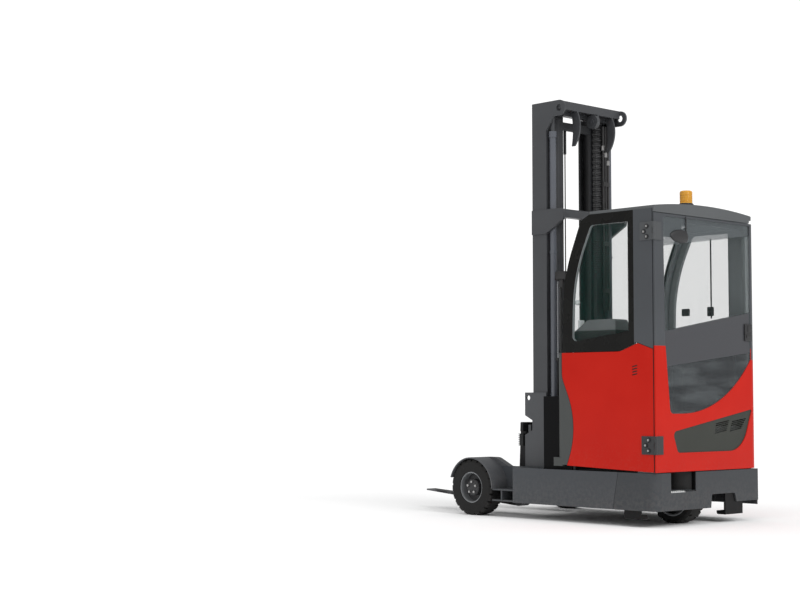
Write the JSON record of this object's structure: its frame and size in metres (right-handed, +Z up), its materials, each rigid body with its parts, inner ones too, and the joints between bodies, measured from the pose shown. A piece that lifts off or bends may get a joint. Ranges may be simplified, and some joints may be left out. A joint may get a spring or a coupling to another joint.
{
  "type": "reach truck",
  "caption": "Reach truck with a closed cab, side-hinged rear door, telescopic mast that moves out between two legs, tilting forks, and a steered drive wheel.",
  "frame": {"origin": "on the floor under the middle of the truck's outline", "axes": "+X towards the forks, +Y to the left of the truck, +Z up"},
  "size_m": [2.7244, 1.295, 3.277],
  "materials": {
    "chassis_paint": "satin",
    "black_paint": "satin",
    "battery_paint": "matte",
    "red_panel": "gloss",
    "cab_grey": "satin",
    "cover_grey": "matte",
    "window_border": "gloss",
    "clear_pane": "clear",
    "mast_grey": "satin",
    "tread_rubber": "matte",
    "wheel_grey": "satin",
    "machine_grey": "matte",
    "polished_rod": "polished",
    "hose_rubber": "matte",
    "seat_cloth": "woven",
    "dash_plastic": "matte",
    "grip_plastic": "matte",
    "mat_rubber": "matte",
    "amber_lens": "gloss",
    "hinge_black": "satin"
  },
  "bodies": {
    "chassis": {"chassis_frame": "chassis_paint", "rear_skirt": "chassis_paint", "stop_feet": "black_paint", "battery": "battery_paint", "fenders": "mast_grey", "load_axles": "machine_grey", "side_panels": "red_panel", "front_cover": "cover_grey", "cab_frame": "cab_grey", "roof": "cab_grey", "window_frames": "window_border", "cab_glass": "clear_pane", "cab_floor": "mat_rubber", "seat_plinth": "dash_plastic", "seat_cushion": "seat_cloth", "seat_back": "seat_cloth", "console": "dash_plastic", "steering_wheel": "grip_plastic", "beacon_base": "hinge_black", "beacon_lens": "amber_lens", "cab_hinges": "hinge_black", "reach_cylinder": "black_paint"},
    "door": {"door_frame": "cab_grey", "door_skin": "red_panel", "door_glass": "clear_pane", "door_grille": "cover_grey", "door_hinges": "hinge_black"},
    "drive": {"drive_unit": "machine_grey"},
    "drive_wheel": {"drive_tyre": "tread_rubber", "drive_rim": "wheel_grey"},
    "left_wheel": {"left_tyre": "tread_rubber", "left_rim": "wheel_grey"},
    "right_wheel": {"right_tyre": "tread_rubber", "right_rim": "wheel_grey"},
    "mast": {"reach_carriage": "mast_grey", "outer_mast": "mast_grey", "lift_cylinders": "polished_rod", "mast_hoses": "hose_rubber"},
    "middle": {"middle_mast": "mast_grey", "energy_chain": "hose_rubber"},
    "inner": {"inner_mast": "mast_grey", "free_lift_cylinder": "black_paint"},
    "carriage": {"fork_carriage": "mast_grey"},
    "fork_unit": {"fork_plate": "black_paint", "forks": "black_paint"}
  },
  "joints": [
    {"name": "door_swing", "type": "hinge", "parent": "chassis", "child": "door", "pos_m": [-1.36, 0.645, 1.367], "axis": [0, 0, -1], "range_deg": [0, 110]},
    {"name": "drive_steer", "type": "hinge", "parent": "chassis", "child": "drive", "pos_m": [-1.105, 0.06, 0.4], "axis": [0, 0, 1], "range_deg": [-90, 90]},
    {"name": "drive_roll", "type": "hinge", "parent": "drive", "child": "drive_wheel", "pos_m": [-1.105, 0.06, 0.203], "axis": [0, 1, 0], "continuous": true},
    {"name": "left_wheel_roll", "type": "hinge", "parent": "chassis", "child": "left_wheel", "pos_m": [0.5, 0.557, 0.22], "axis": [0, 1, 0], "continuous": true},
    {"name": "right_wheel_roll", "type": "hinge", "parent": "chassis", "child": "right_wheel", "pos_m": [0.5, -0.557, 0.22], "axis": [0, 1, 0], "continuous": true},
    {"name": "mast_reach", "type": "slide", "parent": "chassis", "child": "mast", "axis": [1, 0, 0], "range_m": [0, 0.56]},
    {"name": "mast_lift", "type": "slide", "parent": "mast", "child": "middle", "axis": [0, 0, 1], "range_m": [0, 2.1]},
    {"name": "inner_lift", "type": "slide", "parent": "middle", "child": "inner", "axis": [0, 0, 1], "range_m": [0, 2.1]},
    {"name": "carriage_lift", "type": "slide", "parent": "inner", "child": "carriage", "axis": [0, 0, 1], "range_m": [0, 2.2]},
    {"name": "fork_tilt", "type": "hinge", "parent": "carriage", "child": "fork_unit", "pos_m": [0.17, 0, 0.66], "axis": [0, 1, 0], "range_deg": [-1, 5]}
  ],
  "couplings": [
    {"joint": "inner_lift", "follows": "mast_lift", "ratio": 1}
  ]
}
